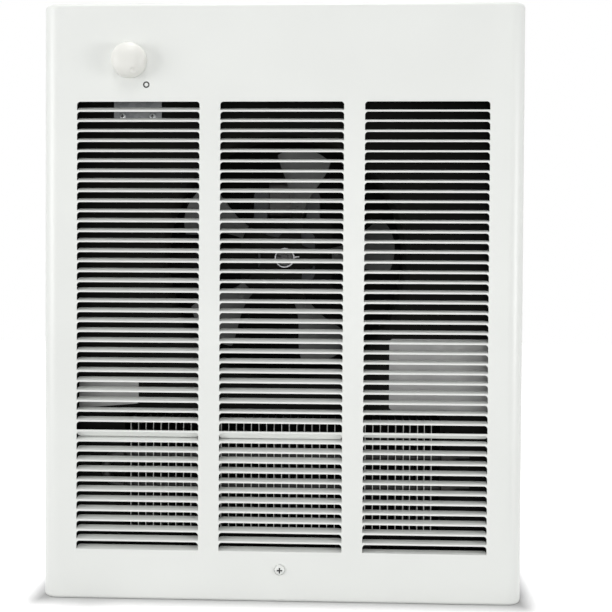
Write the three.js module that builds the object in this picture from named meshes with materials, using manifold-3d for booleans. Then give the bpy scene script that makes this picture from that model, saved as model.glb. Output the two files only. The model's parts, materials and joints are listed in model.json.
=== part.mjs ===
// Recessed electric wall heater with a fan, made of its separate sheet-metal, electrical and moving parts.
// Millimetres, +Z up, the room is at -Y. The origin is the middle of the back box's rear face.
import * as THREE from 'three';
import { mergeVertices } from 'three/addons/utils/BufferGeometryUtils.js';
import Module from 'manifold-3d';

const wasm = await Module();
wasm.setup();

const gap = 0.3; // between pieces that touch
const sheet = 0.9; // steel of the cover
const thinSheet = 1.0; // steel of the box, the deck and the brackets

// Back box, let into the wall as far as its rim
const boxWidth = 368;
const boxHeight = 464;
const boxDepth = 102;
const wallY = -boxDepth;

// Front cover
const coverWidth = 410;
const coverHeight = 508;
const coverDepth = 25;
const coverFrontY = wallY - coverDepth;
const sideBendRadius = 14;
const edgeBendRadius = 3;
const coverLip = 12;

// Louvres: columns of slots, each with its tongue still hanging on the lower edge
const columnCount = 3;
const columnPitch = 122.4;
const rowCount = 45;
const rowPitch = 8.52;
const slotWidth = 104.8;
const slotHeight = 7.9; // from the hinge line of the tongue to the upper edge
const slotCornerCut = 1.7; // taken off the upper corners
const topSlotZ = 170.7; // upper edge of the first row
const tongueAngles = [69, 70.5, 78]; // degrees from the panel, column by column
const tongueLength = 7.9; // along the sheet, from the hinge line
const tongueBendRadius = 0.15; // inside
const foldedRow = 33; // its tongues are folded right down
const foldedAngles = [140, 147, 128];

// Thermostat
const knobX = -129.7;
const knobZ = 205.2;
const knobRadius = 14.5;
const knobHeight = 14;
const bushRadius = 4.8;
const thermostatPlateY = -119;
const bracketSheet = 1.2;

// Cover screw
const coverScrewZ = -226.7;
const screwSeatDepth = 0.6;

// Fan and its opening
const fanZ = 40;
const orificeRadius = 112;
const throatRadius = 103;
const throatDepth = 10;
const ringSides = 40;
const deckY = -90; // front face of the deck
const deckReturn = 14;
const bladeCount = 5;
const bladeTipRadius = 98;
const bladeRootRadius = 42;
const bladeThickness = 1;
const armLength = 56;
const armThickness = 1.6;
const hubRadius = 7.5;
const bladeGap = 0.45; // between the blades and their arms, whose steps differ
const spiderY = (bladeThickness + armThickness) / 2 + bladeGap; // behind the middle of the blades
const discRadius = 19; // of the spider
const fanY = -77; // middle of the blades
const firstBladeAngle = 73;
const shaftRadius = 3;

// Motor
const statorFrontY = -51;
const statorBackY = -31;
const statorHalfWidth = 30;
const rotorRadius = 15;
const limbBottom = 46; // above the shaft
const limbTop = 62;
const mountSheet = 1.3;

// Heating element
const finCount = 41;
const finPitch = 6.56;
const finThickness = 0.6;
const finHeight = 98;
const finDepth = 24;
const elementZ = -146.2;
const elementY = -97.6;
const tubeRadius = 4;
const tubeSpacing = 26.4;
const outletHalfWidth = 144;
const outletTopZ = -94;
const outletBottomZ = -203;

const finishes = {
  coverPaint: { color: 0xe8eae7, roughness: 0.45, metalness: 0 },
  blackPaint: { color: 0x161612, roughness: 0.6, metalness: 0 },
  galvanised: { color: 0xb4b8ba, roughness: 0.45, metalness: 0.9 },
  zinc: { color: 0xc4c4bf, roughness: 0.35, metalness: 0.9 },
  aluminium: { color: 0xa9acab, roughness: 0.4, metalness: 0.9 },
  elementSteel: { color: 0x5d5b57, roughness: 0.5, metalness: 0.8 },
  lamination: { color: 0x4a4c4e, roughness: 0.5, metalness: 0.7 },
  copper: { color: 0xb5653a, roughness: 0.35, metalness: 0.9 },
  knobPlastic: { color: 0xebebe4, roughness: 0.4, metalness: 0 },
  darkPlastic: { color: 0x23211f, roughness: 0.5, metalness: 0 },
  phenolic: { color: 0x5a3a24, roughness: 0.5, metalness: 0 },
  ceramic: { color: 0xe6e0d2, roughness: 0.5, metalness: 0 },
  redPlastic: { color: 0xa3231c, roughness: 0.45, metalness: 0 },
};
const materials = Object.fromEntries(Object.entries(finishes).map(
  ([name, look]) => [name, new THREE.MeshStandardMaterial({ name, ...look })]));

// ---- solids ----

function solid(geometry) {
  const bare = geometry.index ? geometry.toNonIndexed() : geometry.clone();
  bare.deleteAttribute('normal');
  bare.deleteAttribute('uv');
  const merged = mergeVertices(bare, 1e-4);
  const corners = merged.index.array;
  const triVerts = [];
  for (let i = 0; i < corners.length; i += 3) {
    const [a, b, c] = [corners[i], corners[i + 1], corners[i + 2]];
    if (a !== b && b !== c && c !== a) triVerts.push(a, b, c);
  }
  return new wasm.Manifold(new wasm.Mesh({
    numProp: 3,
    vertProperties: new Float32Array(merged.attributes.position.array),
    triVerts: new Uint32Array(triVerts),
  }));
}

function geometryOf(body) {
  const { vertProperties, triVerts, numProp } = body.getMesh();
  const positions = new Float32Array(vertProperties.length / numProp * 3);
  for (let i = 0; i < positions.length / 3; i += 1) {
    positions.set(vertProperties.subarray(i * numProp, i * numProp + 3), i * 3);
  }
  const geometry = new THREE.BufferGeometry();
  geometry.setAttribute('position', new THREE.BufferAttribute(positions, 3));
  geometry.setIndex(new THREE.BufferAttribute(new Uint32Array(triVerts), 1));
  return geometry;
}

const joined = (bodies) => wasm.Manifold.union(bodies);
const rad = THREE.MathUtils.degToRad;

const group = new THREE.Group();
function addPiece(name, body, material) {
  const mesh = new THREE.Mesh(geometryOf(body), material);
  mesh.name = name;
  group.add(mesh);
}

// A shape drawn as seen from the room (x, z), made thick towards the room from backY
function plate(shape, backY, thickness, curveSegments = 6) {
  const geometry = new THREE.ExtrudeGeometry(shape, { depth: thickness, bevelEnabled: false, curveSegments });
  return solid(geometry.rotateX(Math.PI / 2).translate(0, backY, 0));
}

// A shape drawn from the side (y, z), drawn out along X
function alongX(shape, fromX, length, curveSegments = 6) {
  const geometry = new THREE.ExtrudeGeometry(shape, { depth: length, bevelEnabled: false, curveSegments });
  const turn = new THREE.Matrix4().makeBasis(
    new THREE.Vector3(0, 1, 0), new THREE.Vector3(0, 0, 1), new THREE.Vector3(1, 0, 0));
  return solid(geometry.applyMatrix4(turn).translate(fromX, 0, 0));
}

// A shape drawn from above (x, y), drawn out along Z
function alongZ(shape, fromZ, length, curveSegments = 6) {
  const geometry = new THREE.ExtrudeGeometry(shape, { depth: length, bevelEnabled: false, curveSegments });
  return solid(geometry.translate(0, 0, fromZ));
}

// A profile of [radius, y] points turned about an axis along Y
function turned(profile, x, z, sides = 24) {
  const points = profile.map(([radius, y]) => new THREE.Vector2(radius, y));
  return solid(new THREE.LatheGeometry(points, sides).translate(x, 0, z));
}

function rod(radius, fromY, toY, x, z, sides = 16) {
  return turned([[0, fromY], [radius, fromY], [radius, toY], [0, toY]], x, z, sides);
}

function rodX(radius, fromX, toX, y, z, sides = 12) {
  const geometry = new THREE.CylinderGeometry(radius, radius, toX - fromX, sides);
  return solid(geometry.rotateZ(-Math.PI / 2).translate((fromX + toX) / 2, y, z));
}

function block(x0, x1, y0, y1, z0, z1) {
  const geometry = new THREE.BoxGeometry(x1 - x0, y1 - y0, z1 - z0);
  return solid(geometry.translate((x0 + x1) / 2, (y0 + y1) / 2, (z0 + z1) / 2));
}

function rectangle(x0, x1, z0, z1, radius = 0) {
  const shape = new THREE.Shape();
  if (!radius) {
    shape.moveTo(x0, z0).lineTo(x1, z0).lineTo(x1, z1).lineTo(x0, z1).closePath();
    return shape;
  }
  shape.moveTo(x0 + radius, z0).lineTo(x1 - radius, z0);
  shape.absarc(x1 - radius, z0 + radius, radius, -Math.PI / 2, 0);
  shape.lineTo(x1, z1 - radius).absarc(x1 - radius, z1 - radius, radius, 0, Math.PI / 2);
  shape.lineTo(x0 + radius, z1).absarc(x0 + radius, z1 - radius, radius, Math.PI / 2, Math.PI);
  shape.lineTo(x0, z0 + radius).absarc(x0 + radius, z0 + radius, radius, Math.PI, 1.5 * Math.PI);
  return shape;
}

function circleHole(x, z, radius) {
  return new THREE.Path().absarc(x, z, radius, 0, 2 * Math.PI);
}

// A round tube along a smooth curve through points
function tube(points, radius, steps, sides = 8) {
  const curve = new THREE.CatmullRomCurve3(points.map((p) => new THREE.Vector3(...p)), false, 'centripetal');
  const section = new THREE.Shape().absarc(0, 0, radius, 0, 2 * Math.PI);
  return solid(new THREE.ExtrudeGeometry(section, { steps, extrudePath: curve, curveSegments: sides }));
}

// ---- front cover ----

// The outside of the cover, or its inside when drawn smaller by the thickness of the sheet
function coverBlock(inset) {
  const halfWidth = coverWidth / 2 - inset;
  const halfHeight = coverHeight / 2 - inset;
  const frontY = coverFrontY + inset;
  const rearY = inset ? wallY + 10 : wallY;
  const sideRadius = sideBendRadius - inset;
  const edgeRadius = edgeBendRadius - inset;
  const fromAbove = new THREE.Shape().moveTo(-halfWidth, rearY);
  fromAbove.lineTo(-halfWidth, frontY + sideRadius);
  fromAbove.absarc(-halfWidth + sideRadius, frontY + sideRadius, sideRadius, Math.PI, 1.5 * Math.PI);
  fromAbove.absarc(halfWidth - sideRadius, frontY + sideRadius, sideRadius, 1.5 * Math.PI, 2 * Math.PI);
  fromAbove.lineTo(halfWidth, rearY).closePath();
  const fromSide = new THREE.Shape().moveTo(rearY, -halfHeight).lineTo(rearY, halfHeight);
  fromSide.absarc(frontY + edgeRadius, halfHeight - edgeRadius, edgeRadius, Math.PI / 2, Math.PI);
  fromSide.absarc(frontY + edgeRadius, -halfHeight + edgeRadius, edgeRadius, Math.PI, 1.5 * Math.PI);
  return alongZ(fromAbove, -halfHeight, 2 * halfHeight, 4)
    .intersect(alongX(fromSide, -halfWidth, 2 * halfWidth, 2));
}

function slotCutter() {
  const half = slotWidth / 2;
  const radius = slotCornerCut;
  const outline = new THREE.Shape().moveTo(-half, 0).lineTo(half, 0);
  outline.lineTo(half, slotHeight - radius).lineTo(half - radius, slotHeight);
  outline.lineTo(-half + radius, slotHeight).lineTo(-half, slotHeight - radius).closePath();
  return plate(outline, coverFrontY + 3 * sheet, 5 * sheet);
}

// The tongue hinged on the slot's lower edge: the sheet turns inwards round a small radius, then is straight
function tongue(angle, steps) {
  const outsideRadius = tongueBendRadius + sheet;
  const centreY = coverFrontY + outsideRadius;
  const bend = rad(angle);
  const straight = tongueLength - bend * (tongueBendRadius + sheet / 2);
  const at = (radius, turn, along) => [
    centreY - radius * Math.cos(turn) + along * Math.sin(turn),
    radius * Math.sin(turn) + along * Math.cos(turn),
  ];
  const root = -0.4; // runs this far down into the bar below the slot
  const outline = new THREE.Shape().moveTo(coverFrontY, root);
  for (let i = 0; i <= steps; i += 1) outline.lineTo(...at(outsideRadius, bend * i / steps, 0));
  outline.lineTo(...at(outsideRadius, bend, straight));
  outline.lineTo(...at(tongueBendRadius, bend, straight));
  outline.lineTo(...at(tongueBendRadius, bend, 0));
  outline.lineTo(coverFrontY + sheet, 0).lineTo(coverFrontY + sheet, root);
  const half = slotWidth / 2 - gap;
  return alongX(outline, -half, 2 * half);
}

function frontCover() {
  const shell = coverBlock(0).subtract(coverBlock(sheet));
  const inner = { x: coverWidth / 2 - coverLip, z: coverHeight / 2 - coverLip };
  const rim = 0.5; // the lip starts inside the outer skin
  const outer = { x: coverWidth / 2 - rim, z: coverHeight / 2 - rim };
  const lipOutline = rectangle(-outer.x, outer.x, -outer.z, outer.z);
  lipOutline.holes.push(rectangle(-inner.x, inner.x, -inner.z, inner.z));
  const lip = plate(lipOutline, wallY, sheet);

  const cutter = slotCutter();
  const slots = [];
  const tongues = [];
  for (let column = 0; column < columnCount; column += 1) {
    const x = (column - (columnCount - 1) / 2) * columnPitch;
    const bent = tongue(tongueAngles[column], 2);
    const folded = tongue(foldedAngles[column], 4);
    for (let row = 1; row <= rowCount; row += 1) {
      const hingeZ = topSlotZ - (row - 1) * rowPitch - slotHeight;
      slots.push(cutter.translate([x, 0, hingeZ]));
      tongues.push((row === foldedRow ? folded : bent).translate([x, 0, hingeZ]));
    }
  }
  const knobHole = rod(bushRadius + 1.2, coverFrontY - 1, coverFrontY + 3, knobX, knobZ, 16);
  const seatY = coverFrontY + screwSeatDepth;
  const screwSeat = turned([[0, coverFrontY - 1], [5.6, coverFrontY - 1], [5.6, coverFrontY], [4.9, seatY],
    [0, seatY]], 0, coverScrewZ, 16);
  const screwHole = rod(2.6, coverFrontY - 1, coverFrontY + 3, 0, coverScrewZ, 12);
  const openings = joined([...slots, knobHole, screwSeat, screwHole]);
  return joined([shell, lip]).subtract(openings).add(joined(tongues));
}

addPiece('front_cover', frontCover(), materials.coverPaint);

function coverScrew() {
  const seatY = coverFrontY + screwSeatDepth - gap;
  const head = turned([[0, seatY - 2.6], [2.2, seatY - 2.4], [3.7, seatY - 1.6], [4.4, seatY - 0.5],
    [4.4, seatY], [0, seatY]], 0, coverScrewZ, 16);
  return head.add(rod(2, seatY - 0.1, wallY + 8, 0, coverScrewZ, 12));
}

addPiece('cover_screw', coverScrew(), materials.coverPaint);

// ---- back box ----

function backBox() {
  const halfWidth = boxWidth / 2;
  const halfHeight = boxHeight / 2;
  const hollow = block(-halfWidth + thinSheet, halfWidth - thinSheet, wallY - 1, -thinSheet,
    -halfHeight + thinSheet, halfHeight - thinSheet);
  let box = block(-halfWidth, halfWidth, wallY, 0, -halfHeight, halfHeight).subtract(hollow);

  // Hooks on the top edge that the cover's lip hangs on, and the tab that takes its screw
  const hook = new THREE.Shape().moveTo(wallY + 8, halfHeight - 0.5).lineTo(wallY - 3.2, halfHeight - 0.5);
  hook.lineTo(wallY - 3.2, halfHeight + 15).lineTo(wallY - 2, halfHeight + 15);
  hook.lineTo(wallY - 2, halfHeight + 0.6).lineTo(wallY + 8, halfHeight + 0.6).closePath();
  const hookWidth = 24;
  const hooks = [-110, 110].map((x) => alongX(hook, x - hookWidth / 2, hookWidth));
  const tab = rectangle(-12, 12, -halfHeight + 0.5, coverScrewZ + 9, 3);
  tab.holes.push(circleHole(0, coverScrewZ, 2.4));
  box = joined([box, ...hooks, plate(tab, wallY + thinSheet, thinSheet, 3)]);

  // Slots in the sides for the screws into the wall studs
  const studSlots = [];
  for (const z of [-180, -60, 60, 180]) {
    const outline = new THREE.Shape().absarc(wallY + 44, z, 3.2, -Math.PI / 2, Math.PI / 2);
    outline.absarc(wallY + 34, z, 3.2, Math.PI / 2, 1.5 * Math.PI);
    studSlots.push(alongX(outline, -halfWidth - 1, boxWidth + 2, 2));
  }
  box = box.subtract(joined(studSlots));

  // Knockouts for the supply cable, pressed half through the sheet
  const pressed = thinSheet / 2;
  const knockouts = [];
  for (const x of [-140, -105, 105, 140]) {
    knockouts.push(rod(11.1, -pressed, 1, x, 196, 12));
    knockouts.push(solid(new THREE.CylinderGeometry(11.1, 11.1, 2, 12)
      .rotateX(Math.PI / 2).translate(x, -45, halfHeight + 1 - pressed)));
  }
  return box.subtract(joined(knockouts));
}

addPiece('back_box', backBox(), materials.galvanised);

// ---- fan deck ----

function fanDeck() {
  const clearance = 0.4;
  const halfWidth = boxWidth / 2 - thinSheet - clearance;
  const halfHeight = boxHeight / 2 - thinSheet - clearance;
  const face = rectangle(-halfWidth, halfWidth, -halfHeight, halfHeight);
  face.holes.push(rectangle(-outletHalfWidth, outletHalfWidth, outletBottomZ, outletTopZ, 4));
  const front = plate(face, deckY + thinSheet, thinSheet, 2)
    .subtract(rod(orificeRadius, deckY - 5, deckY + 5, 0, fanZ, ringSides));
  const rim = rectangle(-halfWidth, halfWidth, -halfHeight, halfHeight);
  rim.holes.push(rectangle(-halfWidth + thinSheet, halfWidth - thinSheet,
    -halfHeight + thinSheet, halfHeight - thinSheet));
  const returns = plate(rim, deckY + deckReturn, deckReturn - thinSheet / 2);

  // Rolled inlet ring: a quarter bell from the face to the throat
  const bellSteps = 3;
  const bellWidth = orificeRadius - throatRadius + 1;
  const bell = (lift) => Array.from({ length: bellSteps + 1 }, (_, i) => {
    const turn = (Math.PI / 2) * i / bellSteps;
    return [orificeRadius + 1 - (bellWidth - lift) * Math.sin(turn),
      deckY + gap + throatDepth * (1 - Math.cos(turn)) + lift * Math.cos(turn)];
  });
  const rear = bell(thinSheet);
  const ring = turned([...bell(0).reverse(), ...rear, bell(0)[bellSteps]], 0, 0, ringSides)
    .rotate([0, 180 / ringSides, 0]).translate([0, 0, fanZ]);
  return joined([front, returns, ring]);
}

addPiece('fan_deck', fanDeck(), materials.blackPaint);

// ---- fan ----

const smooth = (t) => THREE.MathUtils.smoothstep(t, 0, 1);
const bladeShare = (radius) => (radius - bladeRootRadius) / (bladeTipRadius - bladeRootRadius);

// Half the blade's width, and the angle it makes with the plane of the fan, at a radius
const halfChordAt = (radius) => 8 + 20 * smooth(bladeShare(radius));
const flatRadius = 20; // within this radius the arms lie flat
const pitchAt = (radius) => rad(radius < bladeRootRadius
  ? 40 * smooth((radius - flatRadius) / (bladeRootRadius - flatRadius)) : 40 - 15 * bladeShare(radius));

// A point of the pressed surface that the blades and the arms share, lifted off it by offset
function bladePoint(radius, chordwise, offset) {
  const pitch = pitchAt(radius);
  const camber = 3 * smooth((radius - 20) / 24) * (1 - (chordwise / 28) ** 2);
  const tangent = chordwise * Math.cos(pitch) + (camber + offset) * Math.sin(pitch);
  const axial = chordwise * Math.sin(pitch) - (camber + offset) * Math.cos(pitch);
  const turn = tangent / radius + rad(7) * Math.max(0, bladeShare(radius));
  return [radius * Math.cos(turn), axial, radius * Math.sin(turn)];
}

// A sheet laid on that surface: radiusAt(along, across) and chordAt(radius) give its outline
function bladeSheet(radiusAt, chordAt, offset, thickness, alongSteps, acrossSteps) {
  const geometry = new THREE.BoxGeometry(1, 1, 1, alongSteps, acrossSteps, 1);
  const position = geometry.attributes.position;
  for (let i = 0; i < position.count; i += 1) {
    const across = position.getY(i) * 2;
    const radius = radiusAt(position.getX(i) + 0.5, across);
    const lift = offset + thickness * position.getZ(i);
    position.setXYZ(i, ...bladePoint(radius, chordAt(radius) * across, lift));
  }
  return solid(geometry);
}

function fanBlade() {
  const radiusAt = (along, across) => bladeRootRadius
    + (bladeTipRadius - bladeRootRadius) * along - 5 * across ** 2 * along ** 3;
  return bladeSheet(radiusAt, halfChordAt, 0, bladeThickness, 5, 3);
}

// A flat disc with five twisted arms, pressed from one sheet, which carries the blades on its front.
// It is five equal sectors, joined where their sides meet round the hub.
function fanSpider() {
  const halfSector = Math.PI / bladeCount;
  const acrossSteps = 2;
  const holeRadius = (hubRadius + gap) / Math.cos(halfSector / acrossSteps);
  const radii = [holeRadius, discRadius, 25, 31, 36.5, bladeRootRadius, 49, armLength];
  const alongSteps = radii.length - 1;
  const flat = new THREE.BoxGeometry(1, 1, 1, alongSteps, acrossSteps, 1).toNonIndexed();
  const sector = flat.attributes.position;
  const corner = new THREE.Vector3();
  const axis = new THREE.Vector3(0, 1, 0);
  const corners = [];
  for (let arm = 0; arm < bladeCount; arm += 1) {
    for (let first = 0; first < sector.count; first += 3) {
      const triangle = [0, 1, 2].map((i) => {
        const step = Math.round((sector.getX(first + i) + 0.5) * alongSteps);
        return { step, across: 2 * sector.getY(first + i), lift: sector.getZ(first + i) };
      });
      const side = triangle[0].across;
      const shared = triangle.every(({ step, across }) => step < 2 && across === side && side !== 0);
      if (shared) continue;
      for (const { step, across, lift } of triangle) {
        const radius = radii[step];
        const halfWidth = step < 2 ? radius * halfSector : 9 - 3.2 * radius / armLength;
        corner.set(...bladePoint(radius, across * halfWidth, armThickness * lift - spiderY));
        corners.push(corner.applyAxisAngle(axis, -2 * arm * halfSector).clone());
      }
    }
  }
  return solid(new THREE.BufferGeometry().setFromPoints(corners));
}

// The hub passes through the spider, with a flange behind it and a split collar in front for the clip
function fanHub() {
  const bore = shaftRadius + gap;
  const flangeY = spiderY + armThickness / 2 + gap;
  const hub = turned([[bore, spiderY - 7], [hubRadius - 0.6, spiderY - 7], [hubRadius, spiderY - 6.4],
    [hubRadius, flangeY], [14, flangeY], [14, flangeY + 1.8], [hubRadius, flangeY + 1.8],
    [hubRadius, flangeY + 8], [bore, flangeY + 8], [bore, spiderY - 7]], 0, 0, 24);
  const split = block(-12, 12, spiderY - 8, spiderY - 2.6, -0.5, 0.5);
  return hub.subtract(joined([split, split.rotate([0, 90, 0])]));
}

// Spring clip squeezed round the collar, with two ears for pliers
function fanClip() {
  const frontY = spiderY - 6;
  const backY = spiderY - 2.8;
  const inner = hubRadius + gap;
  const outer = hubRadius + 1.3;
  const section = [[inner, frontY], [outer, frontY], [outer, backY], [inner, backY], [inner, frontY]];
  const ring = turned(section, 0, 0, 24);
  const ear = block(hubRadius + 0.6, hubRadius + 5.5, frontY, backY, -0.5, 0.5);
  const ears = [4, 34].map((turn) => ear.rotate([0, -turn, 0]));
  return joined([ring, ...ears]);
}

const placeOnFan = (body) => body.rotate([0, -firstBladeAngle, 0]).translate([0, fanY, fanZ]);
for (let i = 0; i < bladeCount; i += 1) {
  const blade = fanBlade().rotate([0, -i * 360 / bladeCount, 0]);
  addPiece(`fan_blade_${i + 1}`, placeOnFan(blade), materials.aluminium);
}
addPiece('fan_spider', placeOnFan(fanSpider()), materials.blackPaint);
addPiece('fan_hub', placeOnFan(fanHub()), materials.zinc);
addPiece('fan_clip', fanClip().translate([0, fanY, fanZ]), materials.zinc);

// ---- motor ----

const shaftFrontY = fanY + spiderY - 9;
const shaftBackY = statorBackY + 17;
const bracketRise = 8;

// The steel stack: a ring round the rotor below, and two legs up to the limb that carries the coil
function motorStator() {
  const outline = rectangle(-statorHalfWidth, statorHalfWidth, fanZ - 28, fanZ + limbTop, 5);
  outline.holes.push(circleHole(0, fanZ, rotorRadius + 0.6));
  outline.holes.push(rectangle(-18, 18, fanZ + 26, fanZ + limbBottom, 1.5));
  return plate(outline, statorBackY, statorBackY - statorFrontY, 6);
}

// The winding goes round the upper limb, wrapped in tape
function motorCoil() {
  const around = (depth, height, radius) => rectangle(statorFrontY - depth, statorBackY + depth,
    fanZ + limbBottom - height, fanZ + limbTop + height, radius);
  const round = around(9, 8, 6);
  round.holes.push(around(gap, gap, 0));
  return alongX(round, -16, 32, 2);
}

// A pressed strap bridged over the rotor, with the shaft's bearing in its middle; side is -1 in front,
// 1 behind
function bearingBracket(side) {
  const footY = (side < 0 ? statorFrontY : statorBackY) + side * gap;
  const bridgeY = footY + side * bracketRise;
  const out = side * 1.5;
  const half = [[24, footY], [24, footY + out], [19, footY + out], [15, bridgeY + out]];
  const under = [[13.4, bridgeY], [17.6, footY]];
  const outline = [...half, ...half.map(([x, y]) => [-x, y]).reverse(),
    ...under.map(([x, y]) => [-x, y]).reverse(), ...under];
  const shape = new THREE.Shape(outline.map(([x, y]) => new THREE.Vector2(x, y)));
  const strap = alongZ(shape, fanZ - 9, 18);
  const bossEndY = bridgeY + side * 5;
  const boss = rod(7, Math.min(bridgeY, bossEndY), Math.max(bridgeY, bossEndY), 0, fanZ, 20);
  return strap.add(boss).subtract(rod(shaftRadius + gap, bridgeY - 20, bridgeY + 20, 0, fanZ, 20));
}

function motorRotor() {
  return rod(rotorRadius, statorFrontY + 0.5, statorBackY - 0.5, 0, fanZ, 24)
    .subtract(rod(shaftRadius + gap, statorFrontY - 5, statorBackY + 5, 0, fanZ, 20));
}

// The strap that carries the motor across the opening, with its feet on the back of the deck
function motorMount() {
  const strapY = statorFrontY - gap;
  const footY = deckY + thinSheet + gap;
  const legX = 127;
  const outline = [[legX + mountSheet, strapY], [legX + mountSheet, footY + mountSheet],
    [legX + 15, footY + mountSheet], [legX + 15, footY], [legX, footY], [legX, strapY - mountSheet]];
  const mirrored = outline.map(([x, y]) => [-x, y]).reverse();
  const shape = new THREE.Shape([...outline, ...mirrored].map(([x, y]) => new THREE.Vector2(x, y)));
  const strap = alongZ(shape, fanZ - 11, 22);
  const seat = plate(rectangle(-42, 42, fanZ - 34, fanZ + 34, 6), strapY, mountSheet, 2);
  const window = plate(rectangle(-26, 26, fanZ - 20, fanZ + 24, 6), strapY + 1, mountSheet + 2, 2);
  return strap.add(seat).subtract(window);
}

addPiece('motor_mount', motorMount(), materials.blackPaint);
addPiece('motor_stator', motorStator(), materials.lamination);
addPiece('motor_coil', motorCoil(), materials.darkPlastic);
addPiece('motor_bracket_front', bearingBracket(-1), materials.blackPaint);
addPiece('motor_bracket_rear', bearingBracket(1), materials.blackPaint);
addPiece('motor_rotor', motorRotor(), materials.zinc);
addPiece('motor_shaft', rod(shaftRadius, shaftFrontY, shaftBackY, 0, fanZ, 20), materials.zinc);

// ---- heating element ----

class Bend extends THREE.Curve {
  constructor(radius, x, y, z) {
    super();
    Object.assign(this, { radius, x, y, z });
  }

  getPoint(t, target = new THREE.Vector3()) {
    const turn = Math.PI * (0.5 + t);
    return target.set(this.x + this.radius * Math.cos(turn), this.y, this.z + this.radius * Math.sin(turn));
  }
}

const finsHalfWidth = (finCount - 1) / 2 * finPitch;
const endPlateX = finsHalfWidth + 5.5;
const tubeEndX = endPlateX + 14;

// Two tube passes joined by a return bend, with the fins brazed on and the cold pins at the right-hand end
function heatingElement() {
  const sides = 6;
  const bodies = [];
  for (let i = 0; i < finCount; i += 1) {
    const x = -finsHalfWidth + i * finPitch;
    const fin = new THREE.BoxGeometry(finThickness, finDepth, finHeight);
    bodies.push(solid(fin.translate(x, elementY, elementZ)));
  }
  const bendX = -endPlateX - 6;
  for (const side of [-1, 1]) {
    const z = elementZ + side * tubeSpacing / 2;
    bodies.push(rodX(tubeRadius, bendX - 0.2, tubeEndX, elementY, z, sides));
    bodies.push(rodX(1.6, tubeEndX - 1, tubeEndX + 12, elementY, z, 8));
  }
  const section = new THREE.Shape().absarc(0, 0, tubeRadius, 0, 2 * Math.PI);
  bodies.push(solid(new THREE.ExtrudeGeometry(section, {
    steps: 8, curveSegments: sides / 2, extrudePath: new Bend(tubeSpacing / 2, bendX, elementY, elementZ),
  })));
  return joined(bodies);
}

// The plate at each end of the fins, screwed to the deck by its foot; side is -1 left, 1 right
function elementBracket(side) {
  const footY = deckY - gap;
  const x = side * endPlateX;
  const height = finHeight + 6;
  const upright = block(Math.min(x, x + side * thinSheet), Math.max(x, x + side * thinSheet),
    elementY - finDepth / 2, footY, elementZ - height / 2, elementZ + height / 2);
  const foot = block(Math.min(x, x + side * 19), Math.max(x, x + side * 19), footY - thinSheet, footY,
    elementZ - height / 2, elementZ + height / 2);
  const hole = rodX(tubeRadius + gap, x - 5, x + 5, elementY, elementZ);
  const holes = [-1, 1].map((up) => hole.translate([0, 0, up * tubeSpacing / 2]));
  return upright.add(foot).subtract(joined(holes));
}

function elementBush(up) {
  const x = endPlateX + thinSheet + gap;
  const bore = tubeRadius + gap;
  const profile = [[bore, x], [5.6, x], [5.6, x + 3], [5, x + 5], [5, x + 10], [bore, x + 10], [bore, x]];
  const points = profile.map(([radius, along]) => new THREE.Vector2(radius, along));
  return solid(new THREE.LatheGeometry(points, 16).rotateZ(-Math.PI / 2)
    .translate(0, elementY, elementZ + up * tubeSpacing / 2));
}

addPiece('heating_element', heatingElement(), materials.elementSteel);
addPiece('element_bracket_left', elementBracket(-1), materials.blackPaint);
addPiece('element_bracket_right', elementBracket(1), materials.blackPaint);
addPiece('element_bush_upper', elementBush(1), materials.ceramic);
addPiece('element_bush_lower', elementBush(-1), materials.ceramic);

// ---- thermostat ----

// A bent strip: foot on the deck, web to the front, and the plate that the thermostat is nutted to
function thermostatBracket() {
  const footY = deckY - gap;
  const t = bracketSheet;
  const footBottom = 156.6;
  const webZ = 183;
  const top = knobZ + 25;
  const points = [[footY, footBottom], [footY, webZ + t], [thermostatPlateY + t, webZ + t],
    [thermostatPlateY + t, top], [thermostatPlateY, top], [thermostatPlateY, webZ], [footY - t, webZ],
    [footY - t, footBottom]];
  const halfWidth = 21.2;
  const outline = new THREE.Shape(points.map(([y, z]) => new THREE.Vector2(y, z)));
  return alongX(outline, knobX - halfWidth, 2 * halfWidth)
    .subtract(rod(bushRadius + gap, thermostatPlateY - 3, thermostatPlateY + 3, knobX, knobZ));
}

// Body with the threaded bush that passes through the bracket
function thermostatBody() {
  const frontY = thermostatPlateY + bracketSheet + gap;
  const depth = 19;
  const body = plate(rectangle(knobX - 21, knobX + 21, knobZ - 16, knobZ + 16, 3), frontY + depth, depth, 2);
  const cap = plate(rectangle(knobX - 18, knobX + 18, knobZ - 13, knobZ + 13, 2), frontY + depth + 3, 4, 2);
  const bush = rod(bushRadius, frontY - 8, frontY + 1, knobX, knobZ, 20);
  const shaftHole = rod(shaftRadius + gap, frontY - 12, frontY + 10, knobX, knobZ, 20);
  return joined([body, cap, bush]).subtract(shaftHole);
}

function thermostatNut() {
  const nutY = thermostatPlateY - gap;
  const bore = rod(bushRadius + gap, nutY - 5, nutY + 5, knobX, knobZ, 20);
  return rod(8, nutY - 2.6, nutY, knobX, knobZ, 6).subtract(bore);
}

// Domed knob with a dimple for a pointer, hollow for the shaft
function thermostatKnob() {
  const baseY = coverFrontY - 0.6;
  const topY = baseY - knobHeight;
  const profile = [[0, topY], [4.6, topY + 0.3], [8.6, topY + 1.1], [11.4, topY + 2.3], [13, topY + 3.8],
    [13.9, topY + 5.6], [knobRadius, topY + 8.5], [knobRadius + 0.4, baseY], [0, baseY]];
  const pointerAngle = rad(-77);
  const dimpleRadius = 2.2;
  const dimple = solid(new THREE.SphereGeometry(dimpleRadius, 8, 6)).translate([
    knobX + 9 * Math.cos(pointerAngle), topY - 0.4, knobZ + 9 * Math.sin(pointerAngle)]);
  return turned(profile, knobX, knobZ, 24).subtract(dimple)
    .subtract(rod(shaftRadius + gap, topY + 3, baseY + 2, knobX, knobZ, 20));
}

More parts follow.
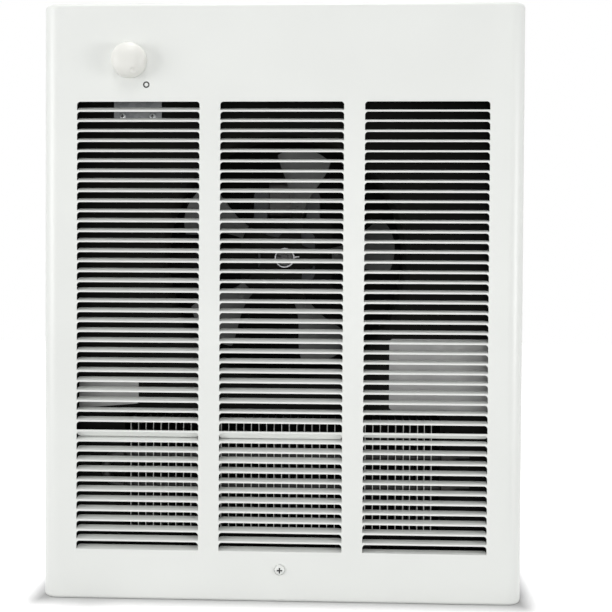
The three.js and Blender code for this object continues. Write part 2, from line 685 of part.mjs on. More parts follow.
addPiece('thermostat_bracket', thermostatBracket(), materials.galvanised);
addPiece('thermostat_body', thermostatBody(), materials.zinc);
addPiece('thermostat_nut', thermostatNut(), materials.zinc);
addPiece('thermostat_knob', thermostatKnob(), materials.knobPlastic);
const shaftTipY = coverFrontY - knobHeight + 2.8;
const thermostatShaft = rod(shaftRadius, shaftTipY, thermostatPlateY + 10, knobX, knobZ, 20);
addPiece('thermostat_shaft', thermostatShaft, materials.zinc);
for (const [name, side] of [['left', -1], ['right', 1]]) {
  const x = knobX + side * 13.25;
  const headY = deckY - bracketSheet - 2 * gap;
  addPiece(`thermostat_screw_${name}`, turned([[0, headY - 1.9], [1.6, headY - 1.8], [2.7, headY - 1],
    [2.7, headY], [0, headY]], x, 163.5, 16), materials.zinc);
}

// The sensing bulb above the opening, clipped to the deck, and the capillary that joins it to the thermostat
const bulbZ = 190;
const bulbY = deckY - 7;
const bulbFromX = -20;
const bulbToX = 62;
addPiece('sensing_bulb', rodX(3.2, bulbFromX, bulbToX, bulbY, bulbZ, 12), materials.copper);
addPiece('capillary', tube([[knobX + 21 + gap, -106, knobZ + 6], [knobX + 34, -106, knobZ + 6],
  [knobX + 50, -101, knobZ + 2], [bulbFromX - 34, bulbY, bulbZ + 3], [bulbFromX - 18, bulbY, bulbZ],
  [bulbFromX - gap, bulbY, bulbZ]], 1, 24, 4), materials.copper);
for (const [name, x] of [['left', 0], ['right', 42]]) {
  const clip = new THREE.Shape().moveTo(deckY - gap, bulbZ - 12).lineTo(deckY - gap, bulbZ - 3.4);
  clip.lineTo(bulbY, bulbZ - 3.4).absarc(bulbY, bulbZ, 3.5, -Math.PI / 2, -1.5 * Math.PI, true);
  clip.lineTo(bulbY + 3, bulbZ + 3.5).lineTo(bulbY + 3, bulbZ + 4.5);
  clip.absarc(bulbY, bulbZ, 4.5, Math.PI / 2, 1.5 * Math.PI, false);
  clip.lineTo(deckY - gap - 1, bulbZ - 4.5).lineTo(deckY - gap - 1, bulbZ - 12).closePath();
  addPiece(`bulb_clip_${name}`, alongX(clip, x - 5, 10, 4), materials.zinc);
}

// ---- safety and fan switches ----

const limitX = 62;
const switchZ = -217;
const buttonRadius = 2.6;
const buttonTravel = 1.5;
const buttonFloorY = deckY - 6;

// A disc switch on an oval flange, with two blade tabs; side is -1 in front of the deck, 1 behind it
function discSwitch(x, side) {
  const seatY = side < 0 ? deckY - gap : deckY + thinSheet + gap;
  const out = (depth) => seatY + side * depth;
  const flange = rectangle(x - 16, x + 16, switchZ - 7, switchZ + 7, 6.9);
  const disc = [[0, out(0)], [8.4, out(0)], [8.4, out(8)], [7.4, out(9.4)], [0, out(9.4)]];
  const tabs = [-1, 1].map((s) => block(x + s * 5 - 0.4, x + s * 5 + 0.4, Math.min(out(9), out(16)),
    Math.max(out(9), out(16)), switchZ - 3, switchZ + 3));
  return joined([plate(flange, Math.max(seatY, out(1)), 1, 3),
    turned(side < 0 ? disc.reverse() : disc, x, switchZ, 20), ...tabs]);
}

function limitSwitch() {
  const pocket = rod(buttonRadius + gap, deckY - 20, buttonFloorY, limitX, switchZ, 16);
  return discSwitch(limitX, -1).subtract(pocket);
}

addPiece('limit_switch', limitSwitch(), materials.darkPlastic);
const buttonY = buttonFloorY - buttonTravel;
const buttonProfile = [[0, buttonY - 6], [buttonRadius - 0.5, buttonY - 6], [buttonRadius, buttonY - 5.4],
  [buttonRadius, buttonY], [0, buttonY]];
addPiece('reset_button', turned(buttonProfile, limitX, switchZ, 16), materials.redPlastic);
addPiece('fan_switch', discSwitch(-limitX, 1), materials.darkPlastic);

// ---- supply terminals ----

const blockX = -138;
const blockZ = 140;

// Four-way terminal block: a stepped bar with an open bay for each wire
function terminalBlock() {
  const halfWidth = 26;
  const side = new THREE.Shape().moveTo(-thinSheet - gap, blockZ - 12).lineTo(-thinSheet - gap, blockZ + 12);
  side.lineTo(-10, blockZ + 12).lineTo(-10, blockZ + 7).lineTo(-19, blockZ + 7).lineTo(-19, blockZ - 7);
  side.lineTo(-10, blockZ - 7).lineTo(-10, blockZ - 12).closePath();
  const bays = [];
  for (const x of [-18, -6, 6, 18]) {
    bays.push(block(blockX + x - 4, blockX + x + 4, -20, -14, blockZ - 8, blockZ + 8));
  }
  return alongX(side, blockX - halfWidth, 2 * halfWidth).subtract(joined(bays));
}

function groundScrew() {
  const seatY = -thinSheet - gap;
  return turned([[0, seatY - 3.4], [3, seatY - 3.4], [4.6, seatY - 2.2], [4.6, seatY], [0, seatY]],
    blockX + 44, blockZ, 6);
}

addPiece('terminal_block', terminalBlock(), materials.phenolic);
addPiece('ground_screw', groundScrew(), materials.zinc);

export default group;
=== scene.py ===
import json
import math
import random

import bmesh
import bpy
from mathutils import Matrix, Vector


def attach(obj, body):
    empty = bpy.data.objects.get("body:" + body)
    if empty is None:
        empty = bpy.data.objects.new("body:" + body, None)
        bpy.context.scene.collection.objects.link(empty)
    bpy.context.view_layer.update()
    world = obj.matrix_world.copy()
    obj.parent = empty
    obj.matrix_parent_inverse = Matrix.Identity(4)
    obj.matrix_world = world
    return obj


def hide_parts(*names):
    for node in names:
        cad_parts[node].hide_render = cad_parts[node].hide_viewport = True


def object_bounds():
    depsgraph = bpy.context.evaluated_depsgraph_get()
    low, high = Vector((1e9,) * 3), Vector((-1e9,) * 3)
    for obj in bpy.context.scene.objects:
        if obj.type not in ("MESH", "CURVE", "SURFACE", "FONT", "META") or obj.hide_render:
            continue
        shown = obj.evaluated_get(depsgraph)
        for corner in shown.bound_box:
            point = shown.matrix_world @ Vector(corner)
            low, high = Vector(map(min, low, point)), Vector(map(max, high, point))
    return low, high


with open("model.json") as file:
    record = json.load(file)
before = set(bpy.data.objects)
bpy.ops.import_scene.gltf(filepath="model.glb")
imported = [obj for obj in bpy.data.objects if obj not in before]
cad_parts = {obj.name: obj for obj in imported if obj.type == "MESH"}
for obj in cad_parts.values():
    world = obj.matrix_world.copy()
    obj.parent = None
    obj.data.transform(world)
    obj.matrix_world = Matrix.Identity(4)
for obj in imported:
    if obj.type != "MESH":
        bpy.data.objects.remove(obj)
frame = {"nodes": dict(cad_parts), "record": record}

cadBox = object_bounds()
random.seed(7)
mm = 0.001
near = 0.01           # mm, places closer than this count as one

wallY = -102.0        # face of the wall, where the cover's lip rests
coverFrontY = -127.0
deckY = -90.0         # front face of the deck
knobX, knobZ = -129.7, 205.2
coverScrewZ = -226.7


# camera, light and floor

view = {
    "eye": (59.17, -1047.0, 15.93),   # mm, about 0.9 m in front of the cover
    "lens": 64.025,
    "yaw": 2.3662, "pitch": -1.1058, "roll": -0.3341,
}
camData = bpy.data.cameras.new("camera")
camData.lens = view["lens"]
camData.sensor_width = 36.0
camData.clip_start = 0.01
cam = bpy.data.objects.new("camera", camData)
bpy.context.scene.collection.objects.link(cam)
cam.matrix_world = (Matrix.Translation(Vector(view["eye"]) * mm)
                    @ Matrix.Rotation(math.radians(view["yaw"]), 4, "Z")
                    @ Matrix.Rotation(math.radians(90 + view["pitch"]), 4, "X")
                    @ Matrix.Rotation(math.radians(-view["roll"]), 4, "Z"))
bpy.context.scene.camera = cam
bpy.context.scene.view_settings.view_transform = "Standard"

lights = {
    "world": 0.30,                    # strength of the surroundings on the object
    "lamps": {
        "left": {"at": (-1.7, -1.0, 0.27), "aim": (0.0, -0.12, -0.05), "size": 0.98, "watts": 14.4},
        "right": {"at": (1.7, -0.95, 0.08), "aim": (0.0, -0.12, -0.05), "size": 0.64, "watts": 11.0},
        "front": {"at": (0.1, -2.4, 0.0), "aim": (0.0, -0.12, -0.05), "size": 0.5, "watts": 6.4},
        "high": {"at": (-0.1, -1.35, 1.75), "aim": (0.0, -0.12, 0.0), "size": 0.8, "watts": 9.0},
        "above": {"at": (0.0, -0.085, 2.1), "aim": (0.0, -0.085, 0.0), "size": 0.12, "watts": 17.0},
    },
    # the floor's added white for seen rays, with painted shade near the heater: none under the heater, and
    # full at "reach" from its sides, reached sooner sideways so the shadows there are painted out
    "paintedFloorShade": {"middle": (0.0, coverFrontY / 2 * mm, 0.0), "half": (0.205, -coverFrontY / 2 * mm, 1.0),
                   "sideways": 2.5, "reach": 0.055},
}


def addAreaLight(name, spec):
    data = bpy.data.lights.new(name, "AREA")
    data.shape = "DISK"
    data.size = spec["size"]
    data.energy = spec["watts"]
    lamp = bpy.data.objects.new(name, data)
    bpy.context.scene.collection.objects.link(lamp)
    aim = Vector(spec["aim"]) - Vector(spec["at"])
    lamp.matrix_world = Matrix.Translation(spec["at"]) @ aim.to_track_quat("-Z", "Y").to_matrix().to_4x4()


for lampName, spec in lights["lamps"].items():
    addAreaLight(lampName, spec)


def seenRay(nodes, links):
    # 1 for what the camera sees, straight, mirrored or through glass
    path = nodes.new("ShaderNodeLightPath")
    seen = path.outputs["Is Camera Ray"]
    for kind in ("Is Glossy Ray", "Is Transmission Ray"):
        either = nodes.new("ShaderNodeMath")
        either.operation = "MAXIMUM"
        links.new(seen, either.inputs[0])
        links.new(path.outputs[kind], either.inputs[1])
        seen = either.outputs[0]
    return seen


world = bpy.data.worlds.new("studio")
bpy.context.scene.world = world
world.use_nodes = True
wn, wl = world.node_tree.nodes, world.node_tree.links
wn.clear()
dim = wn.new("ShaderNodeBackground")
dim.inputs["Color"].default_value = (1, 1, 1, 1)
dim.inputs["Strength"].default_value = lights["world"]
white = wn.new("ShaderNodeBackground")
white.inputs["Color"].default_value = (1, 1, 1, 1)
white.inputs["Strength"].default_value = 1.0
mix = wn.new("ShaderNodeMixShader")
wl.new(seenRay(wn, wl), mix.inputs[0])
wl.new(dim.outputs[0], mix.inputs[1])
wl.new(white.outputs[0], mix.inputs[2])
worldOut = wn.new("ShaderNodeOutputWorld")
wl.new(mix.outputs[0], worldOut.inputs["Surface"])

bm = bmesh.new()
bmesh.ops.create_grid(bm, x_segments=2, y_segments=2, size=4.0)
bmesh.ops.translate(bm, verts=bm.verts, vec=(0, 0, cadBox[0][2]))
floorMesh = bpy.data.meshes.new("floor")
bm.to_mesh(floorMesh)
bm.free()
floor = bpy.data.objects.new("floor", floorMesh)
bpy.context.scene.collection.objects.link(floor)
floorMat = bpy.data.materials.new("floor")
floorMat.use_nodes = True
fn, fl = floorMat.node_tree.nodes, floorMat.node_tree.links
fn.clear()
matt = fn.new("ShaderNodeBsdfDiffuse")
matt.inputs["Color"].default_value = (0.66, 0.66, 0.66, 1)
lift = fn.new("ShaderNodeEmission")   # for seen rays alone
outwards = fn.new("ShaderNodeTexCoord").outputs["Object"]
foot = lights["paintedFloorShade"]
for operation, value in (("SUBTRACT", foot["middle"]), ("ABSOLUTE", None), ("SUBTRACT", foot["half"]),
                         ("MAXIMUM", (0, 0, 0)), ("MULTIPLY", (foot["sideways"], 1, 1)), ("LENGTH", None)):
    step = fn.new("ShaderNodeVectorMath")
    step.operation = operation
    fl.new(outwards, step.inputs[0])
    if value:
        step.inputs[1].default_value = value
    outwards = step.outputs["Value" if operation == "LENGTH" else "Vector"]
# the added white grows from none at the heater's foot to full at reach, which leaves painted shade on the
# floor close to the heater
grow = fn.new("ShaderNodeMapRange")
grow.inputs["From Max"].default_value = foot["reach"]
fl.new(outwards, grow.inputs["Value"])
fl.new(grow.outputs["Result"], lift.inputs["Strength"])
onlySeen = fn.new("ShaderNodeMixShader")
both = fn.new("ShaderNodeAddShader")
floorOut = fn.new("ShaderNodeOutputMaterial")
fl.new(matt.outputs[0], both.inputs[0])
fl.new(lift.outputs[0], both.inputs[1])
fl.new(seenRay(fn, fl), onlySeen.inputs[0])
fl.new(matt.outputs[0], onlySeen.inputs[1])
fl.new(both.outputs[0], onlySeen.inputs[2])
fl.new(onlySeen.outputs[0], floorOut.inputs["Surface"])
floorMesh.materials.append(floorMat)
print("camera, lights and floor are in")


# materials

def startMaterial(name, color, roughness, metallic=0.0):
    mat = bpy.data.materials.new(name)
    mat.use_nodes = True
    shader = mat.node_tree.nodes["Principled BSDF"]
    shader.inputs["Base Color"].default_value = (*color, 1)
    shader.inputs["Roughness"].default_value = roughness
    shader.inputs["Metallic"].default_value = metallic
    coords = mat.node_tree.nodes.new("ShaderNodeTexCoord")
    return mat, shader, coords.outputs["Object"]


def stretched(mat, coords, scale):
    node = mat.node_tree.nodes.new("ShaderNodeMapping")
    node.inputs["Scale"].default_value = scale
    mat.node_tree.links.new(coords, node.inputs["Vector"])
    return node.outputs["Vector"]


def noiseOf(mat, coords, scale, detail=3.0, roughness=0.55):
    node = mat.node_tree.nodes.new("ShaderNodeTexNoise")
    node.inputs["Scale"].default_value = scale
    node.inputs["Detail"].default_value = detail
    node.inputs["Roughness"].default_value = roughness
    mat.node_tree.links.new(coords, node.inputs["Vector"])
    return node.outputs["Fac"]


def rampOf(mat, value, stops):
    node = mat.node_tree.nodes.new("ShaderNodeValToRGB")
    ramp = node.color_ramp
    while len(ramp.elements) < len(stops):
        ramp.elements.new(0.5)
    for element, (at, color) in zip(ramp.elements, stops):
        element.position = at
        element.color = (*color, 1) if isinstance(color, tuple) else (color, color, color, 1)
    mat.node_tree.links.new(value, node.inputs["Fac"])
    return node.outputs["Color"]


def blendOf(mat, kind, factor, first, second):
    node = mat.node_tree.nodes.new("ShaderNodeMix")
    node.data_type = "RGBA"
    node.blend_type = kind
    for value, socket in ((factor, node.inputs[0]), (first, node.inputs[6]), (second, node.inputs[7])):
        if isinstance(value, bpy.types.NodeSocket):
            mat.node_tree.links.new(value, socket)
        else:
            socket.default_value = value
    return node.outputs[2]


def bumpOf(mat, shader, height, strength, distance):
    node = mat.node_tree.nodes.new("ShaderNodeBump")
    node.inputs["Strength"].default_value = strength
    node.inputs["Distance"].default_value = distance
    mat.node_tree.links.new(height, node.inputs["Height"])
    mat.node_tree.links.new(node.outputs["Normal"], shader.inputs["Normal"])


def feed(mat, value, socket):
    mat.node_tree.links.new(value, socket)


def tint(color, by):
    return tuple(min(1.0, max(0.0, c * by)) for c in color)


def powderCoat(name, color, roughness, grain=1500.0, patch=9.0, spread=0.018, peel=0.10, sheen=0.5):
    mat, shader, place = startMaterial(name, color, roughness)
    shader.inputs["Specular IOR Level"].default_value = sheen
    cloud = noiseOf(mat, place, patch, 2.0)
    feed(mat, rampOf(mat, cloud, [(0.3, tint(color, 1 - spread)), (0.7, tint(color, 1 + spread))]),
         shader.inputs["Base Color"])
    wearAndHighlight = noiseOf(mat, place, patch * 25, 3.0)
    feed(mat, rampOf(mat, wearAndHighlight, [(0.25, roughness - 0.04), (0.75, roughness + 0.05)]),
         shader.inputs["Roughness"])
    bumpOf(mat, shader, noiseOf(mat, place, grain, 2.0), peel, 0.00006)
    return mat


def spangledZinc(name, color):
    mat, shader, place = startMaterial(name, color, 0.42, 1.0)
    nodes, links = mat.node_tree.nodes, mat.node_tree.links
    warp = nodes.new("ShaderNodeTexNoise")
    warp.inputs["Scale"].default_value = 60.0
    links.new(place, warp.inputs["Vector"])
    bent = nodes.new("ShaderNodeMix")
    bent.data_type = "VECTOR"
    bent.inputs[0].default_value = 0.012
    links.new(place, bent.inputs[4])
    links.new(warp.outputs["Color"], bent.inputs[5])
    cells = nodes.new("ShaderNodeTexVoronoi")
    cells.inputs["Scale"].default_value = 190.0
    links.new(bent.outputs[1], cells.inputs["Vector"])
    gray = nodes.new("ShaderNodeSeparateColor")
    links.new(cells.outputs["Color"], gray.inputs[0])
    spangle = rampOf(mat, gray.outputs[0], [(0.0, tint(color, 0.87)), (0.5, color), (1.0, tint(color, 1.09))])
    stain = rampOf(mat, noiseOf(mat, place, 14.0, 4.0), [(0.35, 0.86), (0.65, 1.0)])
    feed(mat, blendOf(mat, "MULTIPLY", 1.0, spangle, stain), shader.inputs["Base Color"])
    feed(mat, rampOf(mat, gray.outputs[1], [(0.0, 0.44), (1.0, 0.62)]), shader.inputs["Roughness"])
    bumpOf(mat, shader, noiseOf(mat, place, 900.0, 2.0), 0.12, 0.00005)
    return mat


def platedZinc(name, color, roughness=0.3, metallic=1.0):
    mat, shader, place = startMaterial(name, color, roughness, metallic)
    cloud, fine = noiseOf(mat, place, 70.0, 3.0), noiseOf(mat, place, 350.0, 3.0)
    feed(mat, rampOf(mat, cloud, [(0.3, tint(color, 0.88)), (0.7, tint(color, 1.05))]),
         shader.inputs["Base Color"])
    feed(mat, rampOf(mat, fine, [(0.3, roughness - 0.07), (0.7, roughness + 0.1)]),
         shader.inputs["Roughness"])
    bumpOf(mat, shader, noiseOf(mat, place, 2200.0, 2.0), 0.08, 0.00004)
    return mat


def rolledMetal(name, color, roughness, grainAxis, dull=0.86, metallic=0.35):
    mat, shader, place = startMaterial(name, color, roughness, metallic)
    streak = noiseOf(mat, stretched(mat, place, grainAxis), 9.0, 5.0, 0.7)
    smear = noiseOf(mat, place, 22.0, 4.0)
    base = rampOf(mat, streak, [(0.3, tint(color, 0.93)), (0.7, tint(color, 1.05))])
    feed(mat, blendOf(mat, "MULTIPLY", 1.0, base, rampOf(mat, smear, [(0.35, dull), (0.7, 1.0)])),
         shader.inputs["Base Color"])
    feed(mat, rampOf(mat, streak, [(0.3, roughness - 0.06), (0.7, roughness + 0.1)]),
         shader.inputs["Roughness"])
    bumpOf(mat, shader, streak, 0.1, 0.00005)
    return mat


def oxidised(name, color, warm, roughness):
    mat, shader, place = startMaterial(name, color, roughness, 0.85)
    cloud = noiseOf(mat, place, 45.0, 5.0, 0.6)
    speck = noiseOf(mat, place, 800.0, 2.0)
    base = rampOf(mat, cloud, [(0.3, color), (0.62, warm), (0.8, tint(color, 1.25))])
    feed(mat, blendOf(mat, "MULTIPLY", 0.5, base, rampOf(mat, speck, [(0.3, 0.75), (0.7, 1.0)])),
         shader.inputs["Base Color"])
    feed(mat, rampOf(mat, cloud, [(0.3, roughness - 0.08), (0.7, roughness + 0.12)]),
         shader.inputs["Roughness"])
    bumpOf(mat, shader, speck, 0.15, 0.00006)
    return mat


def moulded(name, color, roughness, grain=1200.0, spread=0.03, peel=0.08):
    mat, shader, place = startMaterial(name, color, roughness)
    cloud, fine = noiseOf(mat, place, 60.0, 3.0), noiseOf(mat, place, 220.0, 3.0)
    feed(mat, rampOf(mat, cloud, [(0.3, tint(color, 1 - spread)), (0.7, tint(color, 1 + spread))]),
         shader.inputs["Base Color"])
    feed(mat, rampOf(mat, fine, [(0.3, roughness - 0.05), (0.7, roughness + 0.06)]),
         shader.inputs["Roughness"])
    bumpOf(mat, shader, noiseOf(mat, place, grain, 2.0), peel, 0.00005)
    return mat


def bandedMetal(name, color, dark, roughness, metallic, axis, pitch):
    mat, shader, place = startMaterial(name, color, roughness, metallic)
    wave = mat.node_tree.nodes.new("ShaderNodeTexWave")
    wave.wave_type = "BANDS"
    wave.bands_direction = axis
    wave.inputs["Scale"].default_value = 1.0 / (2 * math.pi * pitch * mm)
    wave.inputs["Distortion"].default_value = 0.4
    mat.node_tree.links.new(place, wave.inputs["Vector"])
    lines = wave.outputs["Fac"]
    base = rampOf(mat, lines, [(0.15, dark), (0.5, color)])
    stain = rampOf(mat, noiseOf(mat, place, 90.0, 3.0), [(0.3, 0.75), (0.7, 1.0)])
    feed(mat, blendOf(mat, "MULTIPLY", 0.6, base, stain), shader.inputs["Base Color"])
    bumpOf(mat, shader, lines, 0.4, 0.00012)
    return mat


finish = {                            # the record's material slots
    "cover_paint": powderCoat("coverPaint", (0.800, 0.815, 0.790), 0.36),
    "black_paint": powderCoat("blackPaint", (0.0042, 0.0042, 0.0032), 0.62,
                              grain=900.0, patch=14.0, spread=0.22, peel=0.16, sheen=0.10),
    "galvanised": spangledZinc("galvanised", (0.50, 0.52, 0.53)),
    "zinc": platedZinc("zincPlate", (0.68, 0.69, 0.68)),
    "aluminium": rolledMetal("millAluminium", (0.086, 0.088, 0.086), 0.45, grainAxis=(1.0, 1.0, 14.0)),
    "element_steel": oxidised("elementSteel", (0.30, 0.29, 0.275), warm=(0.25, 0.215, 0.185), roughness=0.45),
    "lamination": bandedMetal("laminations", (0.05, 0.052, 0.055), dark=(0.015, 0.015, 0.015),
                              roughness=0.5, metallic=0.6, axis="Y", pitch=0.5),
    "copper": bandedMetal("enamelledCopper", (0.55, 0.24, 0.11), dark=(0.20, 0.07, 0.03),
                          roughness=0.35, metallic=0.9, axis="X", pitch=0.6),
    "knob_plastic": moulded("knobPlastic", (0.770, 0.768, 0.728), 0.42,
                            grain=1400.0, spread=0.012, peel=0.05),
    "dark_plastic": moulded("darkPlastic", (0.022, 0.020, 0.019), 0.42),
    "phenolic": moulded("phenolic", (0.11, 0.055, 0.03), 0.45, grain=700.0, spread=0.18),
    # the ceramic bushes are painted near-black for the shade they sit in
    "ceramic": moulded("ceramic", (0.030, 0.026, 0.023), 0.5, grain=1600.0, spread=0.08, peel=0.12),
    "red_plastic": moulded("redPlastic", (0.42, 0.02, 0.015), 0.35),
}
for part in frame["record"]["subparts"]:
    node = frame["nodes"][part["node"]]
    node.data.materials.clear()
    node.data.materials.append(finish[part["material_slot"]])
print("materials are on the nodes")


# helpers for new pieces

def turned(degrees, axis):
    return Matrix.Rotation(math.radians(degrees), 4, axis)


def extruded(bm, edges):
    new = bmesh.ops.extrude_edge_only(bm, edges=edges)["geom"]
    verts = [g for g in new if isinstance(g, bmesh.types.BMVert)]
    far = set(verts)
    return verts, [g for g in new if isinstance(g, bmesh.types.BMEdge) and far.issuperset(g.verts)]


def finished(name, bm, slotName, body="heater", replaced=(), bevel=None, sharp=35.0, material=None,
             thickness=None):
    for face in bm.faces:
        face.smooth = True
    limit = math.radians(sharp)
    for edge in bm.edges:
        if edge.is_manifold:
            edge.smooth = edge.calc_face_angle() < limit
    bmesh.ops.scale(bm, vec=(mm, mm, mm), verts=bm.verts)
    mesh = bpy.data.meshes.new(name)
    bm.to_mesh(mesh)
    bm.free()
    piece = bpy.data.objects.new(name, mesh)
    bpy.context.scene.collection.objects.link(piece)
    mesh.materials.append(material or finish[slotName])
    if thickness:
        mod = piece.modifiers.new("sheet", "SOLIDIFY")
        mod.thickness = thickness * mm
        mod.material_offset = 1
    if bevel:
        mod = piece.modifiers.new("edges", "BEVEL")
        mod.width = bevel * mm
        mod.segments = 2
        mod.limit_method = "ANGLE"
        mod.angle_limit = math.radians(50)
    even = piece.modifiers.new("even", "WEIGHTED_NORMAL")
    even.keep_sharp = True
    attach(piece, body)
    if replaced:
        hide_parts(*replaced)
    return piece


# front cover

cover = {                             # mm
    "width": 410.0, "height": 508.0, "frontY": coverFrontY, "rearY": wallY, "sheet": 0.9,
    "sideRadius": 14.0, "sideSteps": 10, "edgeRadius": 3.0, "edgeSteps": 5, "lip": 12.0,
    "columns": (-122.4, 0.0, 122.4), "slotWidth": 104.8, "slotHeight": 7.9, "rowPitch": 8.52,
    "rows": 45, "topZ": 170.7, "cornerRadius": 2.3, "cornerSoft": 0.9,
    "tongueAngles": (71.3, 72.3, 78.3), "angleSpread": 1.3, "tongueBend": 1.05, "bendSteps": 4,
    "foldedRow": 33, "foldedAngles": (140.0, 147.0, 128.0),
    # column and row of the tongues that stand out, degrees
    "bentMore": {(0, 1): -5, (0, 3): 3, (0, 5): 3, (0, 11): 3, (0, 20): 3, (0, 26): 3, (0, 27): 3,
                 (0, 31): 7, (0, 38): 8, (1, 6): 3, (1, 7): 5, (1, 11): 6, (1, 17): 5, (1, 18): 6,
                 (1, 20): 4, (1, 31): 6, (1, 36): -6, (1, 38): 4, (2, 5): 4},
    "knobHole": (knobX, knobZ, 6.0), "screwSeat": (0.0, coverScrewZ, 4.9),  # x, z, radius
    "cell": 1.6,                      # half the square cell round an opening, in radii
    "seatRings": ((0.08, 4.8), (0.35, 4.65), (0.6, 4.55), (0.6, 2.6)),      # depth, radius
}


def roundOpening(bm, x, y, z, radius, margin, sides=32):
    # the square cell round the spot gives way to a round hole, whose edges come back
    cell = []
    for f in bm.faces:
        spot = f.calc_center_median()
        if max(abs(spot.x - x), abs(spot.z - z)) < 0.2 * margin:
            cell.append(f)
    rim = [e for f in cell for e in f.edges]
    bmesh.ops.delete(bm, geom=cell, context="FACES_ONLY")
    bmesh.ops.subdivide_edges(bm, edges=rim, cuts=sides // 4 - 1)
    square = [e for e in bm.edges if e.is_boundary and all(
        abs(v.co.y - y) < near and max(abs(v.co.x - x), abs(v.co.z - z)) < margin + near for v in e.verts)]
    verts, edges = extruded(bm, square)
    for v in verts:
        across, up = v.co.x - x, v.co.z - z
        if abs(across) >= abs(up):
            turn = math.radians(45) * up / abs(across)
            across, up = math.copysign(math.cos(turn), across), math.sin(turn)
        else:
            turn = math.radians(45) * across / abs(up)
            across, up = math.sin(turn), math.copysign(math.cos(turn), up)
        v.co.x, v.co.z = x + radius * across, z + radius * up
    return edges


def sweptUp(bm, section, zs):
    # a section of (x, y) drawn up through every height in zs; returns its lowest and highest edges
    verts = [bm.verts.new((x, y, zs[0])) for x, y in section]
    row = first = [bm.edges.new(pair) for pair in zip(verts, verts[1:])]
    for low, high in zip(zs, zs[1:]):
        verts, row = extruded(bm, row)
        bmesh.ops.translate(bm, verts=verts, vec=(0, 0, high - low))
    return first, row


def coverGrid(c):
    # the x and z of the front face's cuts: its flat part, the slots with their corners, the two openings
    halfSlot, corner = c["slotWidth"] / 2, c["cornerRadius"]
    flatX, flatZ = c["width"] / 2 - c["sideRadius"], c["height"] / 2 - c["edgeRadius"]
    xs, zs = {-flatX, flatX}, {-flatZ, flatZ}
    for middle in c["columns"]:
        xs |= {middle + side * (halfSlot - cut) for side in (-1, 1) for cut in (0, corner)}
    for hinge in slotHinges(c):
        zs |= {hinge, hinge + c["slotHeight"] - corner, hinge + c["slotHeight"]}
    for x, z, radius in (c["knobHole"], c["screwSeat"]):
        xs |= {x - c["cell"] * radius, x + c["cell"] * radius}
        zs |= {z - c["cell"] * radius, z + c["cell"] * radius}
    return sorted(xs), sorted(zs)


def slotHinges(c):
    # the lower edge of each row of slots, where its tongues turn inwards
    return [c["topZ"] - row * c["rowPitch"] - c["slotHeight"] for row in range(c["rows"])]


def columnOf(c, x):
    return next((i for i, middle in enumerate(c["columns"]) if abs(x - middle) < c["slotWidth"] / 2), None)


def coverShell(bm, c):
    # the section from above: rear edge, side bend, front, side bend, rear edge
    halfWidth, flatX, side = c["width"] / 2, c["width"] / 2 - c["sideRadius"], c["sideRadius"]
    xs, zs = coverGrid(c)
    left = [(-halfWidth, c["rearY"]), (-halfWidth, c["frontY"] + side)]
    for i in range(1, c["sideSteps"]):
        turn = math.radians(90 * i / c["sideSteps"])
        left.append((-flatX - side * math.cos(turn), c["frontY"] + side * (1 - math.sin(turn))))
    section = left + [(x, c["frontY"]) for x in xs] + [(-x, y) for x, y in reversed(left)]
    first, last = sweptUp(bm, section, zs)
    for edges, up in ((first, -1), (last, 1)):
        turnBack(bm, edges, up, c)
    bmesh.ops.remove_doubles(bm, verts=bm.verts, dist=near)

    # the lip that lies on the wall
    rear = [e for e in bm.edges if e.is_boundary and all(abs(v.co.y - c["rearY"]) < near for v in e.verts)]
    inX, inZ = halfWidth - c["lip"], c["height"] / 2 - c["lip"]
    for v in extruded(bm, rear)[0]:
        v.co.x = min(inX, max(-inX, v.co.x))
        v.co.z = min(inZ, max(-inZ, v.co.z))
    bmesh.ops.remove_doubles(bm, verts=bm.verts, dist=near)


def turnBack(bm, edges, up, c):
    # the top or bottom edge turns back round a small radius, then runs to the wall
    flatX, radius = c["width"] / 2 - c["sideRadius"], c["edgeRadius"]
    rims = {}                         # vertex: where the bend starts, and the way inwards
    for v in {v for e in edges for v in e.verts}:
        side = min(1.0, max(0.0, (abs(v.co.x) - flatX) / c["sideRadius"]))
        inward = Vector((-math.copysign(side, v.co.x), 0, 0))
        if v.co.y < c["frontY"] + c["sideRadius"] - near:
            inward.y = math.sqrt(1 - side * side)
        rims[v] = v.co.copy(), inward.normalized()
    for step in range(1, c["edgeSteps"] + 1):
        turn = math.radians(90 * step / c["edgeSteps"])
        verts, edges = extruded(bm, edges)
        moved = {}
        for v in verts:
            at, inward = next(rims[e.other_vert(v)] for e in v.link_edges if e.other_vert(v) in rims)
            v.co = at + inward * radius * (1 - math.cos(turn)) + Vector((0, 0, up * radius * math.sin(turn)))
            moved[v] = at, inward
        rims = moved
    for v in extruded(bm, edges)[0]:
        v.co.y = c["rearY"]


def cutSlots(bm, c):
    # the corner cells of a slot stay, cut back to a round
    halfSlot, corner = c["slotWidth"] / 2, c["cornerRadius"]
    gone = []
    for f in bm.faces:
        spot = f.calc_center_median()
        column = columnOf(c, spot.x)
        if abs(spot.y - c["frontY"]) > near or column is None:
            continue
        level = next((spot.z - h for h in slotHinges(c) if h < spot.z < h + c["slotHeight"]), None)
        if level is None:
            continue
        if level < c["slotHeight"] - corner or abs(spot.x - c["columns"][column]) < halfSlot - corner:
            gone.append(f)
    bmesh.ops.delete(bm, geom=gone, context="FACES")
    pull = corner * math.sqrt(0.5)
    rounded = []
    for v in bm.verts:
        column = columnOf(c, v.co.x)
        if abs(v.co.y - c["frontY"]) > near or len(v.link_faces) != 1 or column is None:
            continue
        v.co.x += math.copysign(pull, v.co.x - c["columns"][column])
        v.co.z += pull
        rounded.append(v)
    bmesh.ops.bevel(bm, geom=rounded, affect="VERTICES", offset=c["cornerSoft"], segments=3, profile=0.5,
                    material=-1)


